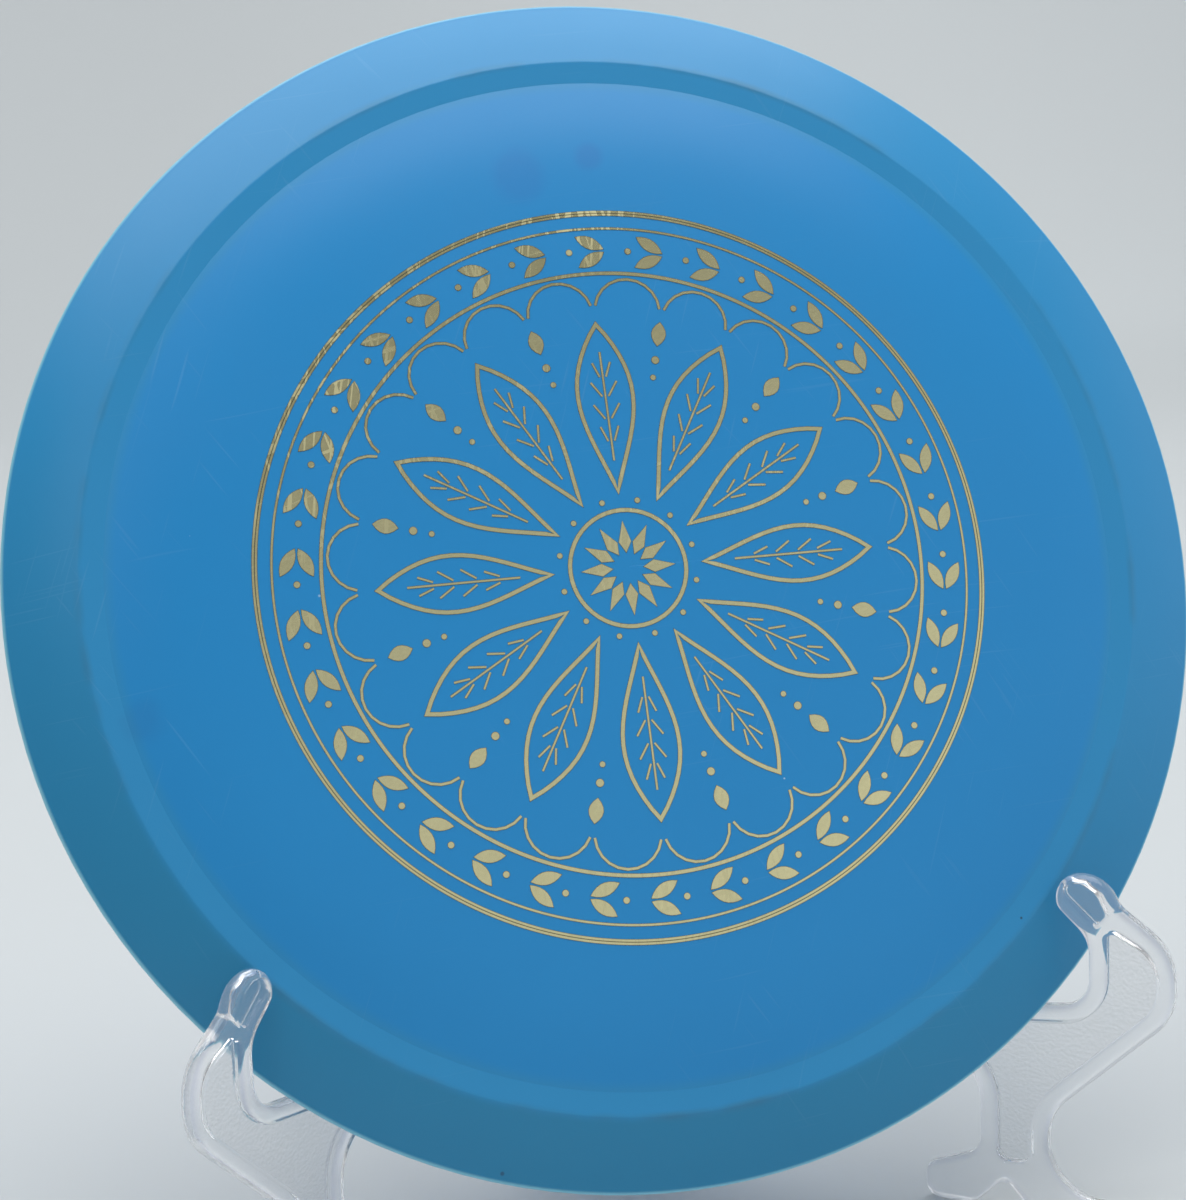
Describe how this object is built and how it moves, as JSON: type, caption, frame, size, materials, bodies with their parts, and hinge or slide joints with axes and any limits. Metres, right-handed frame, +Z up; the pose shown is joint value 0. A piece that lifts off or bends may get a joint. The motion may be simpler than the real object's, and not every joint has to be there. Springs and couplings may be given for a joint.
{
  "type": "golf disc on a display stand",
  "caption": "Round golf disc with a domed plate, shoulder land and bevelled rim, leaning in a folding clear display stand with hook-ended arms.",
  "frame": {"origin": "foot of the stand's hinge axis, at the centre of the rear knuckle's flat bottom face on the floor", "axes": "+Z up along the hinge axis; -Y to the viewer, towards whom the disc faces and the leaves spread; +X to the viewer's right"},
  "size_m": [0.212, 0.0901, 0.2143],
  "materials": {
    "disc_plastic": "satin, slightly translucent blue",
    "clear_plastic": "clear, finely pebbled web with polished edge beads",
    "gold_foil": "hot-stamped pale gold foil, satin"
  },
  "bodies": {
    "right_leaf": {"right_leaf": "clear_plastic"},
    "left_leaf": {"left_leaf": "clear_plastic"},
    "golf_disc": {"golf_disc": "disc_plastic"}
  },
  "joints": [
    {"name": "stand_fold", "type": "hinge", "parent": "right_leaf", "child": "left_leaf", "pos_m": [0, 0, 0.035], "axis": [0, 0, -1], "range_deg": [0, 1]},
    {"name": "disc_lift", "type": "slide", "parent": "right_leaf", "child": "golf_disc", "axis": [0, 0.0872, 0.9962], "range_m": [0, 0.12]}
  ]
}
